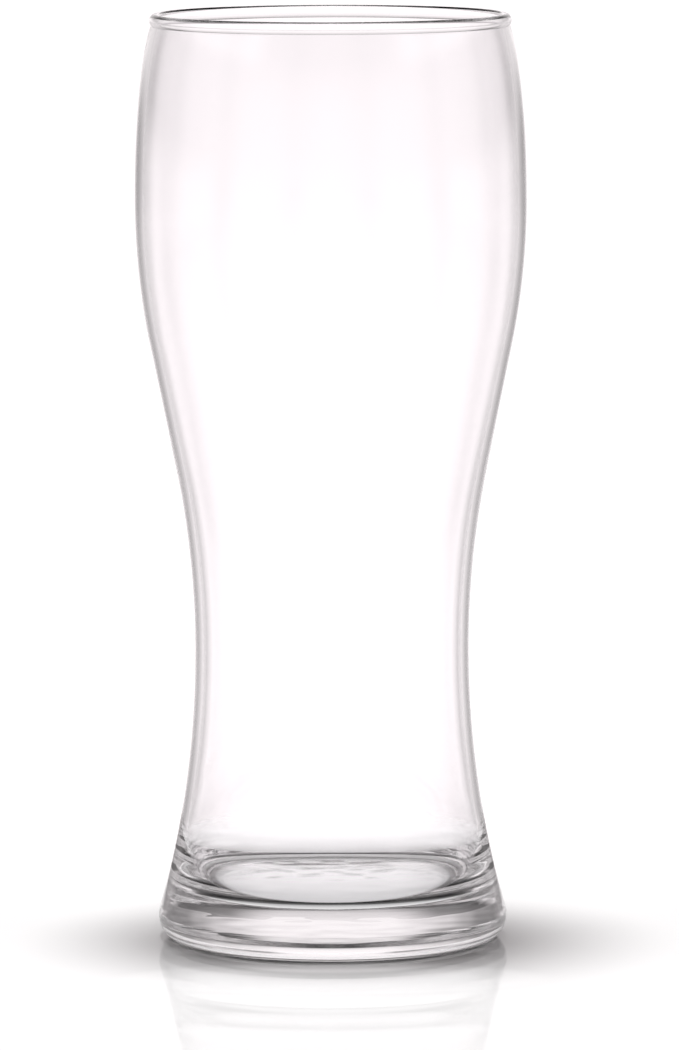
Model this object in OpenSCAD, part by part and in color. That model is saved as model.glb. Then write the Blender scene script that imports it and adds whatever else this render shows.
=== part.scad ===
// Tall handleless beer glass: a bulged bowl on a narrow waist, with a heavy
// flared foot and a rounded bead at the rim. Every piece is a body of revolution.
// Lengths are in millimetres, +Z is up, and the origin is on the table under the
// middle of the foot.

/* [Overall] */
// Height from the table to the top of the rim
height = 190; // [170:1:230]
// Thickness of the blown wall
wall_t = 1.6; // [1.2:0.1:2.4]

/* [Rim] */
// Outer diameter of the wall where it meets the bead
rim_d = 73.4; // [68:0.2:78]
// Height of the bead's oval section
bead_h = 3; // [2.4:0.1:4.5]
// How far the bead stands out from each face of the wall
bead_proud = 0.25; // [0.1:0.05:0.6]

/* [Bowl] */
// Outer diameter at the widest point of the bowl
belly_d = 80.3; // [79:0.1:88]
// Depth of the widest point below the top of the rim
belly_drop = 38.3; // [30:0.1:55]
// Radius of the curve below the widest point, in side view
belly_round = 145; // [90:1:170]
// How far past the bead's underside the shoulder's oval would close
shoulder_past = 4.4; // [2:0.1:12]

/* [Waist] */
// Outer diameter at the narrowest point of the waist
waist_d = 56.4; // [50:0.1:62]
// Height of the narrowest point above the table
waist_z = 59.8; // [50:0.1:70]
// Radius of the curve above the narrowest point, in side view
waist_round = 188; // [100:1:220]

/* [Foot] */
// Diameter of the upright band at the heel
foot_d = 71.7; // [68:0.1:84]
// Height of the top of that band above the table
heel_h = 5.4; // [2:0.1:7]
// How far the rounding under the heel reaches up
heel_up = 4.8; // [0.5:0.1:6]
// How far the rounding under the heel reaches in
heel_in = 3.3; // [0.5:0.1:5]
// Diameter of the hollow under the foot
recess_d = 56; // [40:1:62]
// Depth of the hollow under the foot
recess_h = 0.3; // [0.2:0.1:2]

/* [Cavity] */
// Height of the cavity's floor above the table
floor_h = 9.2; // [7:0.1:14]
// Width of the corner between the floor and the side
corner_w = 5.2; // [3:0.1:8]
// Height of that corner
corner_h = 8.7; // [4:0.1:12]
// How full the corner's curve is: 2 is an oval, more is squarer
corner_full = 2.5; // [2:0.1:3]
// How far the cavity widens below the waist, on each side
cavity_flare = 3.8; // [1.2:0.1:4.5]
// Depth over which the side turns from the flare to upright
cavity_ease = 0.8; // [0.3:0.1:1.2]
// Length of upright side that belongs to the foot, above the floor's corner
foot_side = 9; // [4:0.5:16]

/* [Hidden] */

steps = 14;
round_sides = 128;
glass = [0.86, 0.91, 0.93, 0.45];

rim_r = rim_d / 2;
belly_r = belly_d / 2;
waist_r = waist_d / 2;
foot_r = foot_d / 2;

// The bead is an oval on the wall's middle line, cut off where it is as wide as the wall
bead_w = wall_t + 2 * bead_proud;
bead_cut = acos(wall_t / bead_w);
bead_z = height - bead_h / 2;
bead_r = rim_r - wall_t / 2;
crease_z = bead_z - bead_h / 2 * sin(bead_cut);

// The shoulder is a quarter of an oval that starts upright at the belly
belly_z = height - belly_drop;
shoulder_reach = crease_z - belly_z + shoulder_past;
shoulder_draw = (belly_r - rim_r)
    / (1 - sqrt(1 - pow((crease_z - belly_z) / shoulder_reach, 2)));

// Waist and belly are two arcs joined by their common tangent.
// The arcs shrink together where the rise is too short for both.
rise = belly_z - waist_z;
spread = belly_r - waist_r;
longest_rounds = (spread * spread + rise * rise) / (2 * spread);
round_fit = min(1, 0.98 * longest_rounds / (belly_round + waist_round));
belly_arc = belly_round * round_fit;
waist_arc = waist_round * round_fit;
both_arcs = belly_arc + waist_arc;
lean = asin(both_arcs / norm([rise, both_arcs - spread])) - atan2(both_arcs - spread, rise);
waist_top_z = waist_z + waist_arc * sin(lean);
waist_top_r = waist_r + waist_arc * (1 - cos(lean));
belly_low_z = belly_z - belly_arc * sin(lean);
seam_z = (waist_top_z + belly_low_z) / 2;

// The flare is one arc from the heel band to an upright tangent at the waist
flare_fall = waist_z - heel_h;
flare_out = foot_r - waist_r;
flare_arc = (flare_out * flare_out + flare_fall * flare_fall) / (2 * flare_out);
heel_round = min(heel_up, heel_h);

// The hollow leaves a standing ring at least 1 mm wide inside the heel's rounding
recess_r = min(recess_d / 2, foot_r - heel_in - 1);

cavity_r = waist_r - wall_t + cavity_flare;
corner_top = floor_h + corner_h;
foot_top = corner_top + foot_side;

// Radius of the hollow's ball-shaped roof
recess_ball = (recess_r * recess_r + recess_h * recess_h) / (2 * recess_h);

function outer_r(z) =
    z < waist_z ? waist_r + flare_arc - sqrt(pow(flare_arc, 2) - pow(waist_z - z, 2)) :
    z < waist_top_z ? waist_r + waist_arc - sqrt(pow(waist_arc, 2) - pow(z - waist_z, 2)) :
    z < belly_low_z ? waist_top_r + (z - waist_top_z) * tan(lean) :
    z < belly_z ? belly_r - belly_arc + sqrt(pow(belly_arc, 2) - pow(belly_z - z, 2)) :
    belly_r - shoulder_draw * (1 - sqrt(1 - pow((z - belly_z) / shoulder_reach, 2)));

// The lesser of two lengths, rounded off where they differ by less than ease
function eased_min(a, b, ease) = min(a, b) - pow(max(ease - abs(a - b), 0), 2) / (4 * ease);

function inner_r(z) =
    z < waist_z ? eased_min(outer_r(z) - wall_t, cavity_r, cavity_ease) : outer_r(z) - wall_t;

// Even steps from a up to, and not including, b
function span(a, b) = [for (i = [0 : steps - 1]) a + (b - a) * i / steps];

function reversed(list) = [for (i = [len(list) - 1 : -1 : 0]) list[i]];

// A cosine or sine drawn out for a fuller oval, with its sign kept
function drawn_out(share, full) = sign(share) * pow(abs(share), 2 / full);

// Points on an oval from one angle to another; full is 2 for a plain oval
function oval(centre, half, from, to, full) = [
    for (i = [0 : 2 * steps])
        let (turn = from + (to - from) * i / (2 * steps))
        [
            centre[0] + half[0] * drawn_out(cos(turn), full),
            centre[1] + half[1] * drawn_out(sin(turn), full)
        ]
];

module turned(points) {
    color(glass)
        rotate_extrude($fn = round_sides)
            polygon(points);
}

// A length of wall between the outer and the inner curve
module wall(heights) {
    turned(concat(
        [for (z = heights) [outer_r(z), z]],
        [for (z = reversed(heights)) [inner_r(z), z]]
    ));
}

module rim_bead() {
    turned(oval([bead_r, bead_z], [bead_w / 2, bead_h / 2], -bead_cut, 180 + bead_cut, 2));
}

module bowl() {
    wall(concat(span(seam_z, belly_low_z), span(belly_low_z, belly_z), span(belly_z, crease_z), [crease_z]));
}

module waist() {
    wall(concat(span(foot_top, waist_z), span(waist_z, waist_top_z), span(waist_top_z, seam_z), [seam_z]));
}

module foot() {
    hollow = [
        for (r = span(0, recess_r))
            [r, sqrt(pow(recess_ball, 2) - r * r) - recess_ball + recess_h]
    ];
    heel = oval([foot_r - heel_in, heel_round], [heel_in, heel_round], -90, 0, 2);
    flare = [for (z = concat(span(heel_h, foot_top), [foot_top])) [outer_r(z), z]];
    side = [for (z = reversed(concat(span(corner_top, foot_top), [foot_top]))) [inner_r(z), z]];
    floor_r = inner_r(corner_top) - corner_w;
    corner = oval([floor_r, corner_top], [corner_w, corner_h], 0, -90, corner_full);
    turned(concat(
        hollow, [[recess_r, 0]], heel, flare, side,
        [for (i = [1 : len(corner) - 1]) corner[i]],
        [[0, floor_h]]
    ));
}

rim_bead();
bowl();
waist();
foot();
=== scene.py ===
import math

import bpy
import numpy as np
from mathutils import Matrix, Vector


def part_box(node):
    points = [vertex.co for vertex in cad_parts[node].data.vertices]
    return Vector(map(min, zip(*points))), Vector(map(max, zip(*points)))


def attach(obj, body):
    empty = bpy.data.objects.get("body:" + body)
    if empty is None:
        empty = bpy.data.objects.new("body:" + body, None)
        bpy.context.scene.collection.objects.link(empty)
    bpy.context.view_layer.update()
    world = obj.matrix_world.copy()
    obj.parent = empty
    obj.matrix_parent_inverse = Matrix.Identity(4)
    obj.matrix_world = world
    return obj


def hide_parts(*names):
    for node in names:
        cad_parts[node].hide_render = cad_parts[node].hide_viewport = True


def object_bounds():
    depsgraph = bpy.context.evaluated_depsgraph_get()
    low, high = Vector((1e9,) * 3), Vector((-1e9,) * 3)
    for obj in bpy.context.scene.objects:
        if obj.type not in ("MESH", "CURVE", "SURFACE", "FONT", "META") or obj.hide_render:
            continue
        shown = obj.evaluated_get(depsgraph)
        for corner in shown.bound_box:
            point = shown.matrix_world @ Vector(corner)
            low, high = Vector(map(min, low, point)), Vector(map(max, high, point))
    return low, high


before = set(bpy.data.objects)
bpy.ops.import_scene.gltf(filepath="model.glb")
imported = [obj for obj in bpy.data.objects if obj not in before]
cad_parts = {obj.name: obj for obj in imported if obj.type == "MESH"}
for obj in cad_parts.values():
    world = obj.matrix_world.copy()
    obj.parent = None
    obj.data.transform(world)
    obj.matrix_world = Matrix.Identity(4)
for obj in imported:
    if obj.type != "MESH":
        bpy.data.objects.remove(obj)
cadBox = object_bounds()
mm = 0.001
print("frame loaded:", sorted(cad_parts))


def hexToLinear(code):
    parts = [int(code[i:i + 2], 16) / 255 for i in (1, 3, 5)]
    return [p / 12.92 if p <= 0.04045 else ((p + 0.055) / 1.055) ** 2.4 for p in parts]


# adds a node, sets its properties and sockets, and links the sockets that are given another node's output;
# a socket goes by its name, with _ for a space, or by its number, as in _0
def addNode(tree, kind, props=None, **sockets):
    node = tree.nodes.new(kind)
    for name, value in (props or {}).items():
        setattr(node, name, value)
    for key, value in sockets.items():
        socket = node.inputs[int(key[1:])] if key[1:].isdigit() else node.inputs[key.replace("_", " ")]
        if isinstance(value, bpy.types.NodeSocket):
            tree.links.new(value, socket)
        else:
            socket.default_value = value
    return node


# sizes that the frame gives
topZ = cadBox[1].z
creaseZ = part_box("bowl")[1].z
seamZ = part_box("waist")[1].z
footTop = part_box("foot")[1].z
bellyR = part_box("bowl")[1].x
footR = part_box("foot")[1].x

# rim bead: an oval on the wall's middle line, cut off where it is as wide as the wall
rimShape = {
    "proud": 0.25 * mm,  # how far it stands out from each face of the wall
    "height": 3 * mm,
    "steps": 48,
}
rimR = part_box("rim_bead")[1].x - rimShape["proud"]

# bowl: a quarter of an oval above the belly, which starts upright there, and an arc below it
bowlShape = {
    "wall": 1.6 * mm,
    "bellyDrop": 38.3 * mm,  # from the top of the rim down to the widest point
    "bellyRound": 145 * mm,
    "shoulderPast": 4.4 * mm,  # how far past the bead's underside the oval would close
    "steps": 60,
}
wall = bowlShape["wall"]
bellyZ = topZ - bowlShape["bellyDrop"]
shoulderReach = creaseZ - bellyZ + bowlShape["shoulderPast"]
shoulderDraw = (bellyR - rimR) / (1 - math.sqrt(1 - ((creaseZ - bellyZ) / shoulderReach) ** 2))

# waist: an arc that shares a tangent with the belly's
waistShape = {
    "width": 56.4 * mm,
    "height": 59.8 * mm,  # of the narrowest point
    "round": 188 * mm,
    "steps": 70,
}
waistR, waistZ = waistShape["width"] / 2, waistShape["height"]
rise, spread = bellyZ - waistZ, bellyR - waistR
bellyArc, waistArc = bowlShape["bellyRound"], waistShape["round"]
bothArcs = bellyArc + waistArc
lean = math.asin(bothArcs / math.hypot(rise, bothArcs - spread)) - math.atan2(bothArcs - spread, rise)
waistTopZ = waistZ + waistArc * math.sin(lean)
waistTopR = waistR + waistArc * (1 - math.cos(lean))
bellyLowZ = bellyZ - bellyArc * math.sin(lean)

# foot: one arc from the heel band to the waist, around a cavity that spreads less
footShape = {
    "heelHeight": 5.4 * mm,
    "heelUp": 4.8 * mm,
    "heelIn": 3.3 * mm,
    "recessWidth": 56 * mm,
    "recessDepth": 0.3 * mm,
    "floorHeight": 9.2 * mm,
    "cornerWidth": 5.2 * mm,
    "cornerHeight": 8.7 * mm,
    "cornerFull": 2.5,  # 2 is an oval corner, more is squarer
    "cavityFlare": 3.8 * mm,
    "cavityEase": 0.8 * mm,
}
heelZ = footShape["heelHeight"]
flareOut, flareFall = footR - waistR, waistZ - heelZ
flareArc = (flareOut ** 2 + flareFall ** 2) / (2 * flareOut)
cavityR = waistR - wall + footShape["cavityFlare"]
cavityEase = footShape["cavityEase"]
floorZ = footShape["floorHeight"]
cornerTop = floorZ + footShape["cornerHeight"]


def outerRadius(z):
    flare = waistR + flareArc - np.sqrt(np.maximum(flareArc ** 2 - (waistZ - z) ** 2, 0))
    hollow = waistR + waistArc - np.sqrt(np.maximum(waistArc ** 2 - (z - waistZ) ** 2, 0))
    slope = waistTopR + (z - waistTopZ) * math.tan(lean)
    bulge = bellyR - bellyArc + np.sqrt(np.maximum(bellyArc ** 2 - (bellyZ - z) ** 2, 0))
    closing = np.sqrt(np.maximum(1 - ((z - bellyZ) / shoulderReach) ** 2, 0))
    shoulder = bellyR - shoulderDraw * (1 - closing)
    zones = [z < waistZ, z < waistTopZ, z < bellyLowZ, z < bellyZ]
    return np.select(zones, [flare, hollow, slope, bulge], shoulder)


def innerRadius(z):
    plain = outerRadius(z) - wall
    gap = np.maximum(cavityEase - abs(plain - cavityR), 0)
    eased = np.minimum(plain, cavityR) - gap ** 2 / (4 * cavityEase)
    return np.where(z < waistZ, eased, plain)


# a curve gives radius and height for t from 0 to 1

def wallCurve(radius, zFrom, zTo):
    def curve(t):
        z = zFrom + (zTo - zFrom) * t
        return radius(z), z
    return curve


# full is 2 for a plain oval, more for a squarer one
def ovalCurve(centre, half, angleFrom, angleTo, full=2):
    def curve(t):
        a = angleFrom + (angleTo - angleFrom) * t
        across, up = [np.sign(v) * np.abs(v) ** (2 / full) for v in (np.cos(a), np.sin(a))]
        return centre[0] + half[0] * across, centre[1] + half[1] * up
    return curve


def lineCurve(start, end):
    def curve(t):
        return start[0] + (end[0] - start[0]) * t, start[1] + (end[1] - start[1]) * t
    return curve


# a flat ring across the wall, where two zones meet
def seamCurve(z, radiusFrom, radiusTo):
    return lineCurve((float(radiusFrom(z)), z), (float(radiusTo(z)), z))


turning = {
    "sides": 200,
    "slopeStep": 1e-4,  # share of a curve over which its slope is measured
    "onAxis": 1e-7,  # a smaller radius is a point on the axis
}


# turns a chain of curves about Z into a closed piece; each curve comes with its count of steps and its material.
# The corners get the curve's own normals, so that light bends smoothly across the rings.
def turnedPiece(name, node, chain, materials):
    sides, slopeStep = turning["sides"], turning["slopeStep"]
    angle = np.arange(sides) * 2 * math.pi / sides
    verts, faces, corners, slots = [], [], [], []
    lastRing = None
    for curve, count, slotIndex in chain:
        t = np.linspace(0, 1, count + 1)
        r, z = curve(t)
        r0, z0 = curve(t - slopeStep)
        r1, z1 = curve(t + slopeStep)
        dr, dz = r1 - r0, z1 - z0
        length = np.hypot(dr, dz)
        nr, nz = dz / length, -dr / length
        rings = []
        for i in range(count + 1):
            if i == 0 and lastRing is not None:
                rings.append(lastRing)
                continue
            if r[i] < turning["onAxis"]:
                rings.append([len(verts)])
                verts.append((0, 0, z[i]))
                continue
            rings.append(list(range(len(verts), len(verts) + sides)))
            verts.extend(zip(r[i] * np.cos(angle), r[i] * np.sin(angle), np.full(sides, z[i])))
        for i in range(count):
            low, high = rings[i], rings[i + 1]
            for j in range(sides):
                k = (j + 1) % sides
                quad = [(low, j, i), (low, k, i), (high, k, i + 1), (high, j, i + 1)]
                if len(low) == 1:
                    quad.pop(1)
                elif len(high) == 1:
                    quad.pop(2)
                faces.append([ring[s % len(ring)] for ring, s, _ in quad])
                for _, s, p in quad:
                    corners.append((nr[p] * math.cos(angle[s]), nr[p] * math.sin(angle[s]), nz[p]))
                slots.append(slotIndex)
        lastRing = rings[-1]
    if len(lastRing) > 1:
        # the chain has come round: its last ring is its first one
        moved = {v: i for i, v in enumerate(lastRing)}
        faces = [[moved.get(v, v) for v in face] for face in faces]
        verts = verts[:lastRing[0]]
    mesh = bpy.data.meshes.new(name)
    mesh.from_pydata(verts, [], faces)
    mesh.polygons.foreach_set("material_index", slots)
    mesh.polygons.foreach_set("use_smooth", [True] * len(faces))
    mesh.normals_split_custom_set(corners)
    for material in materials:
        mesh.materials.append(material)
    piece = bpy.data.objects.new(name, mesh)
    bpy.context.scene.collection.objects.link(piece)
    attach(piece, "root")
    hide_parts(node)


def emptyMaterial(name):
    material = bpy.data.materials.new(name)
    material.use_nodes = True
    material.node_tree.nodes.clear()
    return material, material.node_tree


glassColour, glassIor = "#FBFAFB", 1.52

# how each face was formed: length, height and flatness of its waves, and the roughness that wiping left
# on their crests
surfaceLook = {
    "rim": {"waveLength": 9 * mm, "waveHeight": 0.01 * mm, "flatness": 1.0, "wiped": 0.01},
    "wall": {"waveLength": 26 * mm, "waveHeight": 0.02 * mm, "flatness": 1.6, "wiped": 0.012},
    "foot": {"waveLength": 14 * mm, "waveHeight": 0.02 * mm, "flatness": 2.0, "wiped": 0.012},
    "underside": {"waveLength": 5 * mm, "waveHeight": 0.12 * mm, "flatness": 1.0, "wiped": 0.03},
}


# clear soda-lime glass: no colour in a thin wall, crisp bright edges, and slow waves that bend what is seen
# through it; only the upper part of each wave is wiped
def clearGlass(name, look, wipedFrom=0.5, wipedFull=0.8):
    material, tree = emptyMaterial(name)
    place = addNode(tree, "ShaderNodeTexCoord").outputs["Object"]
    # the waves lie flat, along the turning of the mould
    laid = addNode(tree, "ShaderNodeVectorMath", {"operation": "MULTIPLY"},
                   _0=place, _1=(1, 1, look["flatness"]))
    waves = addNode(tree, "ShaderNodeTexNoise", None,
                    Vector=laid.outputs[0], Scale=1 / look["waveLength"], Detail=0.0)
    bent = addNode(tree, "ShaderNodeBump", None,
                   Height=waves.outputs[0], Distance=look["waveHeight"], Strength=1.0)
    wiped = addNode(tree, "ShaderNodeMapRange", None, Value=waves.outputs[0],
                    From_Min=wipedFrom, From_Max=wipedFull, To_Min=0.0, To_Max=look["wiped"])
    shader = addNode(tree, "ShaderNodeBsdfPrincipled", None,
                     Base_Color=hexToLinear(glassColour) + [1], IOR=glassIor, Transmission_Weight=1.0,
                     Roughness=wiped.outputs[0], Normal=bent.outputs[0])
    addNode(tree, "ShaderNodeOutputMaterial", None, Surface=shader.outputs[0])
    return material


# where two zones of the one glass meet: nothing to see
def seamGlass():
    material, tree = emptyMaterial("seam inside the glass")
    clear = addNode(tree, "ShaderNodeBsdfTransparent")
    addNode(tree, "ShaderNodeOutputMaterial", None, Surface=clear.outputs[0])
    return material


seam = seamGlass()
rimGlass = clearGlass("soda-lime glass, fire-polished rim", surfaceLook["rim"])
wallGlass = clearGlass("soda-lime glass, blown wall", surfaceLook["wall"])
footGlass = clearGlass("soda-lime glass, thick foot", surfaceLook["foot"])
underGlass = clearGlass("soda-lime glass, pressed underside", surfaceLook["underside"])
onFace, onSeam, onUnderside = 0, 1, 2  # where a piece's materials stand in its list
seamSteps = 2


def beadPiece():
    half = ((wall + 2 * rimShape["proud"]) / 2, rimShape["height"] / 2)
    cut = math.acos(wall / 2 / half[0])
    centre = (rimR - wall / 2, topZ - half[1])
    turnedPiece("rim_bead_glass", "rim_bead", [
        (ovalCurve(centre, half, -cut, math.pi + cut), rimShape["steps"], onFace),
        (lineCurve((rimR - wall, creaseZ), (rimR, creaseZ)), seamSteps, onSeam),
    ], [rimGlass, seam])


def wallPiece(name, node, low, high, steps):
    turnedPiece(name, node, [
        (wallCurve(outerRadius, low, high), steps, onFace),
        (seamCurve(high, outerRadius, innerRadius), seamSteps, onSeam),
        (wallCurve(innerRadius, high, low), steps, onFace),
        (seamCurve(low, innerRadius, outerRadius), seamSteps, onSeam),
    ], [wallGlass, seam])


def footPiece():
    recessR, recessDepth = footShape["recessWidth"] / 2, footShape["recessDepth"]
    recessBall = (recessR ** 2 + recessDepth ** 2) / (2 * recessDepth)
    recessAngle = math.asin(recessR / recessBall)
    ballCentre, ballHalf = (0, recessDepth - recessBall), (recessBall, recessBall)
    heelIn, heelUp = footShape["heelIn"], footShape["heelUp"]
    cornerHalf = (footShape["cornerWidth"], footShape["cornerHeight"])
    floorR = float(innerRadius(np.array(cornerTop))) - cornerHalf[0]
    down, up = -math.pi / 2, math.pi / 2
    # from the middle of the underside, round the heel and down the cavity to the middle of its floor
    turnedPiece("foot_glass", "foot", [
        (ovalCurve(ballCentre, ballHalf, up, up - recessAngle), 24, onUnderside),
        (lineCurve((recessR, 0), (footR - heelIn, 0)), 4, onFace),
        (ovalCurve((footR - heelIn, heelUp), (heelIn, heelUp), down, 0), 20, onFace),
        (lineCurve((footR, heelUp), (footR, heelZ)), 2, onFace),
        (wallCurve(outerRadius, heelZ, footTop), 40, onFace),
        (seamCurve(footTop, outerRadius, innerRadius), seamSteps, onSeam),
        (wallCurve(innerRadius, footTop, cornerTop), 20, onFace),
        (ovalCurve((floorR, cornerTop), cornerHalf, 0, down, footShape["cornerFull"]), 40, onFace),
        (lineCurve((floorR, floorZ), (0, floorZ)), 16, onFace),
    ], [footGlass, seam, underGlass])


beadPiece()
wallPiece("bowl_glass", "bowl", seamZ, creaseZ, bowlShape["steps"])
wallPiece("waist_glass", "waist", footTop, seamZ, waistShape["steps"])
footPiece()
print("glass turned")


# a smooth run of brightness through stops, each a place along the value and the level there
def rampOver(tree, value, stops):
    low, high = stops[0][0], stops[-1][0]
    spot = addNode(tree, "ShaderNodeMapRange", None, Value=value, From_Min=low, From_Max=high)
    ramp = addNode(tree, "ShaderNodeValToRGB", None, Fac=spot.outputs[0])
    marks = ramp.color_ramp.elements
    ramp.color_ramp.interpolation = "EASE"
    for place, level in stops:
        at = (place - low) / (high - low)
        mark = marks[0] if place == low else marks[-1] if place == high else marks.new(at)
        mark.position = at
        mark.color = (level, level, level, 1)
    return ramp.outputs["Color"]


# two colours put together in full by the way that is named: ADD or MULTIPLY
def combined(tree, how, first, second):
    return addNode(tree, "ShaderNodeMix", {"data_type": "RGBA", "blend_type": how},
                   _0=1.0, _6=first, _7=second).outputs[2]


tableSet = {
    "colour": "#F4F4F4",
    "roughness": 0.03,
    "ior": 1.12,
    "drop": 0.02 * mm,  # keeps it just clear of the foot
    "sides": 96,
    # it fades away between these distances from its middle, before it reaches the studio's walls
    "middle": (0, -0.03, 0),
    "solid": 0.105,
    "gone": 0.19,
    # painted light on it besides the lamp's: ovals of glow, each with its brightness from the middle to the
    # edge.
    # They paint the light that the foot would gather under itself and throw forward, and the backdrop's light on
    # the far side.
    "paintedLightPools": [
        {"middle": (0, 0, 0), "half": (27 * mm, 30 * mm, 1),
         "stops": [(0, 0.95), (0.5, 0.9), (0.85, 0.78), (0.95, 0.55), (1.03, 0.1), (1.12, 0)]},
        {"middle": (0, -52 * mm, 0), "half": (46 * mm, 20 * mm, 1),
         "stops": [(0, 0.14), (0.5, 0.14), (0.8, 0.06), (1, 0)]},
        {"middle": (0, 150 * mm, 0), "half": (200 * mm, 90 * mm, 1),
         "stops": [(0, 0.17), (0.7, 0.17), (1, 0)]},
    ],
}


# white acrylic sheet: a bright plain ground with a faint mirror image of the glass, and pools of painted light
# glowing from it
def whiteAcrylic():
    material, tree = emptyMaterial("white acrylic sheet")
    place = addNode(tree, "ShaderNodeTexCoord").outputs["Object"]
    far = addNode(tree, "ShaderNodeVectorMath", {"operation": "DISTANCE"}, _0=place, _1=tableSet["middle"])
    fade = addNode(tree, "ShaderNodeMapRange", {"interpolation_type": "SMOOTHSTEP"},
                   Value=far.outputs["Value"], From_Min=tableSet["solid"], From_Max=tableSet["gone"])
    # the ovals' painted pools of light, added up and given to the sheet as its glow
    paintedLight = None
    for oval in tableSet["paintedLightPools"]:
        moved = addNode(tree, "ShaderNodeVectorMath", {"operation": "SUBTRACT"}, _0=place, _1=oval["middle"])
        scaled = addNode(tree, "ShaderNodeVectorMath", {"operation": "DIVIDE"},
                         _0=moved.outputs[0], _1=oval["half"])
        outward = addNode(tree, "ShaderNodeVectorMath", {"operation": "LENGTH"}, _0=scaled.outputs[0])
        level = rampOver(tree, outward.outputs["Value"], oval["stops"])
        paintedLight = level if paintedLight is None else combined(tree, "ADD", paintedLight, level)
    sheet = addNode(tree, "ShaderNodeBsdfPrincipled", None,
                    Base_Color=hexToLinear(tableSet["colour"]) + [1], Roughness=tableSet["roughness"],
                    IOR=tableSet["ior"], Emission_Color=paintedLight, Emission_Strength=1.0)
    clear = addNode(tree, "ShaderNodeBsdfTransparent")
    mixed = addNode(tree, "ShaderNodeMixShader", None,
                    _0=fade.outputs[0], _1=sheet.outputs[0], _2=clear.outputs[0])
    addNode(tree, "ShaderNodeOutputMaterial", None, Surface=mixed.outputs[0])
    return material


def whiteTable():
    n, reach = tableSet["sides"], tableSet["gone"]
    x0, y0, _ = tableSet["middle"]
    angles = [i * 2 * math.pi / n for i in range(n)]
    edge = [(x0 + reach * math.cos(a), y0 + reach * math.sin(a), 0) for a in angles]
    mesh = bpy.data.meshes.new("table")
    mesh.from_pydata(edge, [], [list(range(n))])
    mesh.materials.append(whiteAcrylic())
    table = bpy.data.objects.new("table", mesh)
    table.location.z = -tableSet["drop"]
    bpy.context.scene.collection.objects.link(table)


whiteTable()

# the studio's brightness by direction: a white backdrop behind the glass, grey sides and a dark ceiling.
# Around is in degrees from straight behind the glass, upward in degrees above the horizon.
studioSet = {
    "tint": "#FFFAFB",  # its walls are a faintly rosy grey
    # below the horizon, where grey panels draw the glass's edges from every side and the backdrop darkens
    # toward its top
    "lowAround": [(0, 1.32), (9, 1.22), (11.5, 1.0), (13, 0.75), (15, 0.38), (19, 0.35), (24, 0.52),
                  (29, 0.66), (34, 0.9), (42, 1.05), (54, 1.05), (65, 0.65), (80, 1.1), (98, 1.1),
                  (111, 0.65), (126, 1.05), (144, 1.05), (157, 0.75), (172, 1.0), (180, 1.0)],
    "lowUpward": [(-6, 1), (-3.2, 0.87)],
    # just above the horizon
    "midAround": [(0, 1.1), (12, 1.08), (20, 0.92), (30, 0.75), (38, 0.5), (46, 0.3), (65, 0.25),
                  (90, 0.4), (130, 0.65), (180, 0.7)],
    # higher up: the backdrop's top edge, and a softbox on each side
    "topAround": [(0, 1), (12, 1), (30, 0.3), (60, 0.1), (180, 0.1)],
    "topUpward": [(14, 0.85), (20, 0.8), (25, 0.65), (29, 0.25), (34, 0.12), (90, 0.1)],
    "boxAround": [(55, 0), (75, 0.85), (125, 0.85), (145, 0)],
    "boxUpward": [(10, 0), (18, 1), (66, 1), (78, 0)],
    # degrees over which one zone gives way to the next
    "lowToMid": (-3, 1),
    "midToUp": (6, 20),
}


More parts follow.
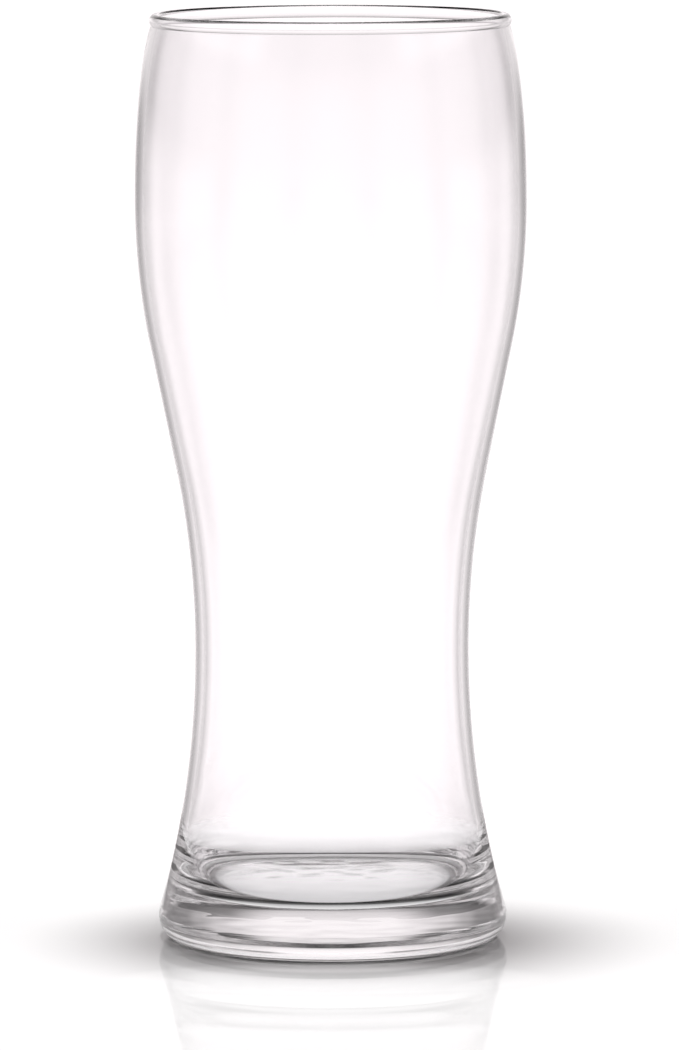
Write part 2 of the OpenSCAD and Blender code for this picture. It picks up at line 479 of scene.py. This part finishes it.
def studioLight():
    world = bpy.data.worlds.new("studio")
    bpy.context.scene.world = world
    world.use_nodes = True
    tree = world.node_tree
    tree.nodes.clear()
    way = addNode(tree, "ShaderNodeTexCoord").outputs["Generated"]
    axes = addNode(tree, "ShaderNodeSeparateXYZ", None, Vector=way)
    turn = addNode(tree, "ShaderNodeMath", {"operation": "ARCTAN2"}, _0=axes.outputs["X"], _1=axes.outputs["Y"])
    turnDegrees = addNode(tree, "ShaderNodeMath", {"operation": "DEGREES"}, _0=turn.outputs[0])
    aside = addNode(tree, "ShaderNodeMath", {"operation": "ABSOLUTE"}, _0=turnDegrees.outputs[0]).outputs[0]
    rising = addNode(tree, "ShaderNodeMath", {"operation": "ARCSINE"}, _0=axes.outputs["Z"])
    lift = addNode(tree, "ShaderNodeMath", {"operation": "DEGREES"}, _0=rising.outputs[0]).outputs[0]

    def zone(name):
        return combined(tree, "MULTIPLY", rampOver(tree, lift, studioSet[name + "Upward"]),
                        rampOver(tree, aside, studioSet[name + "Around"]))

    def giveWay(span, first, second):
        share = addNode(tree, "ShaderNodeMapRange", {"interpolation_type": "SMOOTHSTEP"},
                        Value=lift, From_Min=span[0], From_Max=span[1])
        return addNode(tree, "ShaderNodeMix", {"data_type": "RGBA"},
                       _0=share.outputs[0], _6=first, _7=second).outputs[2]

    mid = rampOver(tree, aside, studioSet["midAround"])
    up = combined(tree, "ADD", zone("top"), zone("box"))
    around = giveWay(studioSet["midToUp"], giveWay(studioSet["lowToMid"], zone("low"), mid), up)
    tinted = combined(tree, "MULTIPLY", around, hexToLinear(studioSet["tint"]) + [1])
    light = addNode(tree, "ShaderNodeBackground", None, Color=tinted)
    addNode(tree, "ShaderNodeOutputWorld", None, Surface=light.outputs[0])


studioLight()

# the lamp over the table: it lights the table alone, so the glass shows no hard glints
lampSet = {
    "width": 0.18,
    "place": (-0.012, 0.04, 0.9),
    "power": 7.1,
}
lamp = bpy.data.lights.new("table lamp", "AREA")
lamp.shape = "DISK"
lamp.size = lampSet["width"]
lamp.energy = lampSet["power"]
lampObject = bpy.data.objects.new("table lamp", lamp)
lampObject.location = lampSet["place"]
lampObject.visible_camera = lampObject.visible_glossy = lampObject.visible_transmission = False
bpy.context.scene.collection.objects.link(lampObject)

# camera: the photograph's eye point, measured from the axis and the table
cameraSet = {
    "distance": 1.6,
    "height": 0.2698,
    "aside": 0.0016,
    "pitchDown": 6.583,
    "roll": -0.15,
    "focalPixels": 7854,
    "imageHeight": 1050,
    "sensor": 36,
    "nearest": 0.05,
    "farthest": 50,
}
lens = bpy.data.cameras.new("camera")
lens.sensor_width = cameraSet["sensor"]
lens.lens = cameraSet["sensor"] * cameraSet["focalPixels"] / cameraSet["imageHeight"]
lens.clip_start, lens.clip_end = cameraSet["nearest"], cameraSet["farthest"]
camera = bpy.data.objects.new("camera", lens)
camera.location = (cameraSet["aside"], -cameraSet["distance"], cameraSet["height"])
camera.rotation_mode = "ZYX"
camera.rotation_euler = (math.radians(90 - cameraSet["pitchDown"]), 0, math.radians(cameraSet["roll"]))
bpy.context.scene.collection.objects.link(camera)

scene = bpy.context.scene
scene.camera = camera
scene.view_settings.view_transform = "Standard"
# light runs down inside the wall by many reflections
lightBounces = 96
scene.cycles.max_bounces = lightBounces
scene.cycles.transmission_bounces = lightBounces
scene.cycles.glossy_bounces = lightBounces
scene.cycles.transparent_max_bounces = lightBounces
scene.cycles.caustics_refractive = False
scene.cycles.caustics_reflective = False
print("stage set")
